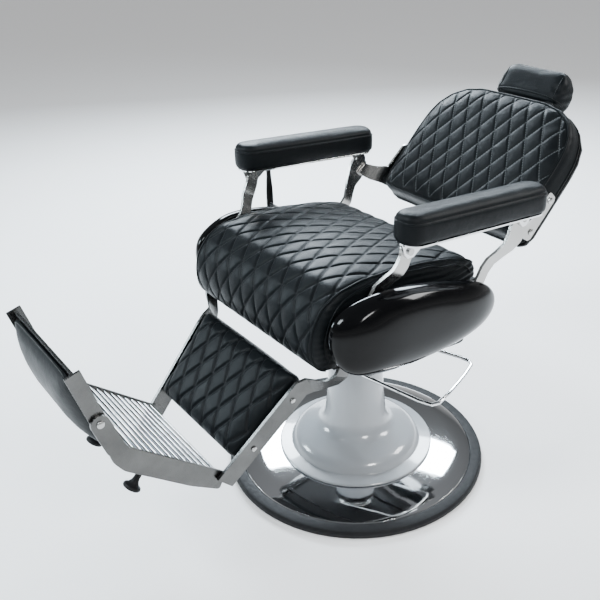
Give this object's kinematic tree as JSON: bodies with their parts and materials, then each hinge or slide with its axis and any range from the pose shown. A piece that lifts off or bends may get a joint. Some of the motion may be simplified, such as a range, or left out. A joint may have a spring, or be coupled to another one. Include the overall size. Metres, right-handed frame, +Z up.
{
  "type": "hydraulic barber chair",
  "caption": "Reclining barber chair with quilted black cushions, swinging armrests, legrest with ribbed footplate and flip pad, gloss side pods, white pump column and round base.",
  "frame": {"origin": "centre of the base's underside, on the floor under the column", "axes": "+Z up, the chair faces -Y, +X is the sitter's left"},
  "size_m": [0.701, 1.4771, 0.9697],
  "materials": {
    "rubber": "matt black",
    "chrome": "mirror polished",
    "enamel": "white gloss enamel",
    "cast_metal": "polished casting",
    "tread_metal": "extruded, satin",
    "bolt_steel": "plated",
    "cast_iron": "painted black underneath",
    "dark_paint": "black semi gloss",
    "pod_gloss": "piano black",
    "board": "plywood, black cloth outside",
    "leather": "black, semi gloss, diamond quilted"
  },
  "bodies": {
    "base": {"base_casting": "cast_iron", "rubber_ring": "rubber", "base_cover": "chrome", "bell_column": "enamel", "pump_cylinder": "bolt_steel"},
    "pump_turret": {"pump_head": "dark_paint"},
    "pump_lever": {"pump_lever": "chrome"},
    "seat": {"pump_ram": "chrome", "swivel_hub": "bolt_steel", "under_frame": "dark_paint", "seat_pan": "board", "seat_cushion": "leather", "side_frame_left": "dark_paint", "side_pod_left": "pod_gloss", "side_frame_right": "dark_paint", "side_pod_right": "pod_gloss"},
    "back": {"rear_post_left": "cast_metal", "back_bracket_left": "cast_metal", "back_bolt_upper_left": "bolt_steel", "back_bolt_lower_left": "bolt_steel", "rear_post_right": "cast_metal", "back_bracket_right": "cast_metal", "back_bolt_upper_right": "bolt_steel", "back_bolt_lower_right": "bolt_steel", "back_board": "board", "back_cushion": "leather", "headrest_guide": "dark_paint"},
    "headrest": {"headrest_bar": "chrome", "headrest_cushion": "leather"},
    "front_posts": {"front_post_left": "cast_metal", "front_post_right": "cast_metal"},
    "armrests": {"arm_plate_left": "chrome", "arm_pad_left": "leather", "arm_bolt_left": "bolt_steel", "arm_plate_right": "chrome", "arm_pad_right": "leather", "arm_bolt_right": "bolt_steel"},
    "tie_bars": {"tie_bar_left": "bolt_steel", "tie_bar_right": "bolt_steel"},
    "legrest": {"leg_arm_left": "cast_metal", "leg_arm_right": "cast_metal", "calf_board": "board", "calf_cushion": "leather", "leg_screw_left_1": "bolt_steel", "leg_screw_left_2": "bolt_steel", "leg_screw_right_1": "bolt_steel", "leg_screw_right_2": "bolt_steel", "footplate": "tread_metal", "foot_side_left": "cast_metal", "foot_knuckle_left": "cast_metal", "rubber_foot_left": "rubber", "foot_side_right": "cast_metal", "foot_knuckle_right": "cast_metal", "rubber_foot_right": "rubber"},
    "flip_pad": {"flip_frame": "tread_metal", "flip_cushion": "leather", "flip_bolt_left": "bolt_steel", "flip_bolt_right": "bolt_steel"},
    "recline_lever": {"recline_lever": "dark_paint"}
  },
  "joints": [
    {"name": "swivel", "type": "hinge", "parent": "base", "child": "pump_turret", "pos_m": [0, 0, 0.305], "axis": [0, 0, 1], "continuous": true},
    {"name": "lift", "type": "slide", "parent": "pump_turret", "child": "seat", "axis": [0, 0, 1], "range_m": [-0.07, 0.08]},
    {"name": "pump_lever_press", "type": "hinge", "parent": "pump_turret", "child": "pump_lever", "pos_m": [0, 0, 0.337], "axis": [-0.342, 0.9397, 0], "range_deg": [0, 20], "stiffness_Nm_per_rad": 10, "springref_deg": -14.32},
    {"name": "recline", "type": "hinge", "parent": "seat", "child": "back", "pos_m": [0, 0.138, 0.572], "axis": [1, 0, 0], "range_deg": [0, 34]},
    {"name": "headrest_slide", "type": "slide", "parent": "back", "child": "headrest", "axis": [0, 0.6947, 0.7193], "range_m": [0, 0.07]},
    {"name": "front_post_swing", "type": "hinge", "parent": "seat", "child": "front_posts", "pos_m": [0, -0.222, 0.598], "axis": [1, 0, 0], "range_deg": [0, 34]},
    {"name": "armrest_swing", "type": "hinge", "parent": "back", "child": "armrests", "pos_m": [0, 0.255, 0.722], "axis": [1, 0, 0], "range_deg": [-34, 0]},
    {"name": "tie_bar_swing", "type": "hinge", "parent": "back", "child": "tie_bars", "pos_m": [0, 0.138, 0.527], "axis": [1, 0, 0], "range_deg": [-34, 0]},
    {"name": "legrest_swing", "type": "hinge", "parent": "seat", "child": "legrest", "pos_m": [0, -0.235, 0.545], "axis": [1, 0, 0], "range_deg": [0, 34]},
    {"name": "flip_pad_fold", "type": "hinge", "parent": "legrest", "child": "flip_pad", "pos_m": [0, -0.7515, 0.535], "axis": [1, 0, 0], "range_deg": [-141, 0]},
    {"name": "recline_lever_pull", "type": "hinge", "parent": "seat", "child": "recline_lever", "pos_m": [-0.3475, -0.018, 0.636], "axis": [1, 0, 0], "range_deg": [-18, 0], "stiffness_Nm_per_rad": 1.5, "springref_deg": 14.32}
  ],
  "couplings": [
    {"joint": "front_post_swing", "follows": "recline", "ratio": 1},
    {"joint": "armrest_swing", "follows": "recline", "ratio": -1},
    {"joint": "tie_bar_swing", "follows": "recline", "ratio": -1},
    {"joint": "legrest_swing", "follows": "recline", "ratio": 1}
  ]
}
